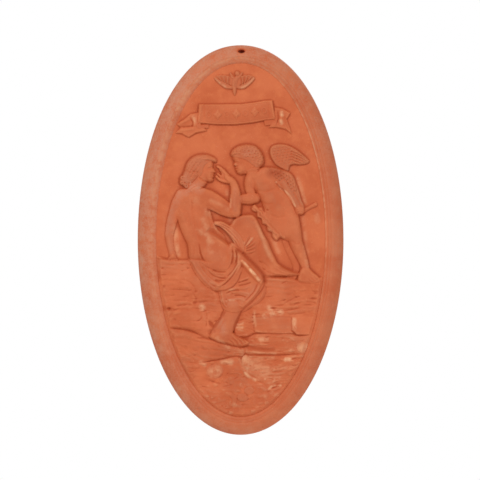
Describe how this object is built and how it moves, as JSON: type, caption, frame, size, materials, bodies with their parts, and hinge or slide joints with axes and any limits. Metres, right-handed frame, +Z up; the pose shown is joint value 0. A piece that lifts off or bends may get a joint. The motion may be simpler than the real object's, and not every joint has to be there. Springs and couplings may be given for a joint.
{
  "type": "terracotta relief wall plaque",
  "caption": "Oval terracotta wall plaque with a wide rim, a hanging hole and a low relief of a seated draped figure and a winged child.",
  "frame": {"origin": "centre of the oval on the wall plane, the flat back", "axes": "+Z up as the plaque hangs, +X to the viewer's right, the face looks along -Y and the wall is at Y = 0"},
  "size_m": [0.1904, 0.0175, 0.3604],
  "materials": {
    "fired_clay": "unglazed, orange terracotta",
    "dusty_clay": "unglazed, pinkish grey wash",
    "grey_clay": "unglazed, grey wash",
    "pale_clay": "unglazed, rubbed pale on the high spots",
    "dark_clay": "unglazed, stained dark in the recesses"
  },
  "bodies": {
    "root": {"back_slab": "fired_clay", "bank_front": "fired_clay", "bank_right": "fired_clay", "banner_fold_left": "dark_clay", "banner_fold_right": "dark_clay", "banner_lozenge_1": "pale_clay", "banner_lozenge_2": "pale_clay", "banner_lozenge_3": "pale_clay", "banner_panel": "fired_clay", "banner_tail_left": "fired_clay", "banner_tail_right": "fired_clay", "bead_inner": "fired_clay", "bead_outer": "dusty_clay", "block_large": "fired_clay", "block_small": "fired_clay", "boulder_left": "pale_clay", "boulder_right": "pale_clay", "bow_stave": "grey_clay", "cupid_far_leg": "dark_clay", "cupid_fist": "fired_clay", "cupid_forearm": "fired_clay", "cupid_hair": "grey_clay", "cupid_head": "fired_clay", "cupid_near_foot": "fired_clay", "cupid_near_leg": "fired_clay", "cupid_sash": "pale_clay", "cupid_torso": "fired_clay", "cupid_upper_arm": "fired_clay", "cupid_wing_lower": "grey_clay", "cupid_wing_upper": "grey_clay", "drape_far_leg": "fired_clay", "drape_hem_fold": "dark_clay", "drape_hip": "fired_clay", "drape_near_calf": "fired_clay", "drape_near_thigh": "pale_clay", "drape_waist_roll": "pale_clay", "emblem_body": "grey_clay", "emblem_wing_left": "grey_clay", "emblem_wing_right": "grey_clay", "leaf_curl": "dusty_clay", "ledge_left": "fired_clay", "ledge_right": "dusty_clay", "rim_band": "dusty_clay", "seat_rock": "fired_clay", "shell_lower": "grey_clay", "shell_upper": "grey_clay", "water": "dusty_clay", "woman_foot": "fired_clay", "woman_forearm": "fired_clay", "woman_hair": "grey_clay", "woman_hair_bun": "grey_clay", "woman_hand": "fired_clay", "woman_head": "fired_clay", "woman_propped_arm": "fired_clay", "woman_shin": "fired_clay", "woman_torso": "fired_clay", "woman_upper_arm": "fired_clay"}
  },
  "joints": []
}
